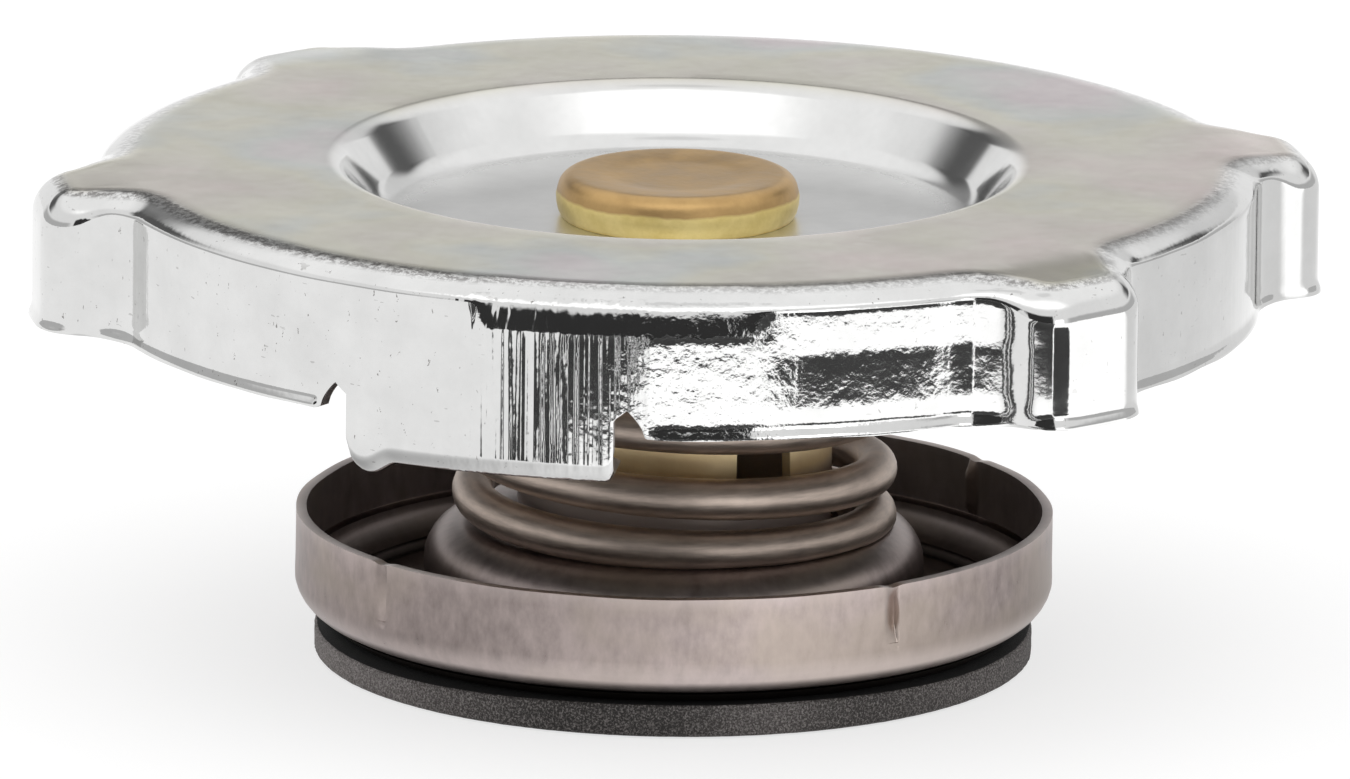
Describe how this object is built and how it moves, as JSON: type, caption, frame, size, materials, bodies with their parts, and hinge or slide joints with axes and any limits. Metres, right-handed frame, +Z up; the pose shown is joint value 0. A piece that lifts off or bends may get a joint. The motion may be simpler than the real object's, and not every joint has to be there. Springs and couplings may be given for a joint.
{
  "type": "radiator cap",
  "caption": "Vented radiator pressure cap: plated shell with grip ears and locking tabs, brass rivet, coil spring, steel valve cup, rubber gasket and a vacuum valve.",
  "frame": {"origin": "centre of the lower gasket's bottom face", "axes": "+Z up along the cap's axis, towards the shell's top; the two locking tabs lie on the Y axis"},
  "size_m": [0.0672, 0.067, 0.0292],
  "materials": {
    "plated_steel": "bright zinc plate, satin on top",
    "rivet_brass": "dull, lightly tarnished",
    "cage_brass": "satin",
    "retainer_brass": "satin",
    "spring_sheet": "satin",
    "spring_steel": "oiled wire",
    "cup_steel": "drawn sheet, slightly streaked",
    "gasket_rubber": "grainy, matt",
    "seal_rubber": "matt"
  },
  "bodies": {
    "shell": {"cap_shell": "plated_steel"},
    "core": {"centre_rivet": "rivet_brass", "friction_disc": "spring_sheet", "upper_seal": "seal_rubber", "spring_cage": "cage_brass", "main_spring": "spring_steel"},
    "pressure_valve": {"valve_cup": "cup_steel", "lower_gasket": "gasket_rubber", "gasket_retainer": "retainer_brass", "vacuum_spring": "spring_steel"},
    "vacuum_valve": {"vacuum_valve": "retainer_brass", "vacuum_seal": "seal_rubber", "spring_keeper": "retainer_brass"}
  },
  "joints": [
    {"name": "shell_swivel", "type": "hinge", "parent": "shell", "child": "core", "pos_m": [0, 0, 0.025], "axis": [0, 0, 1], "continuous": true},
    {"name": "pressure_lift", "type": "slide", "parent": "core", "child": "pressure_valve", "axis": [0, 0, 1], "range_m": [0, 0.002], "stiffness_N_per_m": 8200, "springref_m": -0.0065, "deforming": ["main_spring"]},
    {"name": "vacuum_drop", "type": "slide", "parent": "pressure_valve", "child": "vacuum_valve", "axis": [0, 0, -1], "range_m": [0, 0.0015], "stiffness_N_per_m": 80, "springref_m": -0.0035, "deforming": ["vacuum_spring"]}
  ]
}
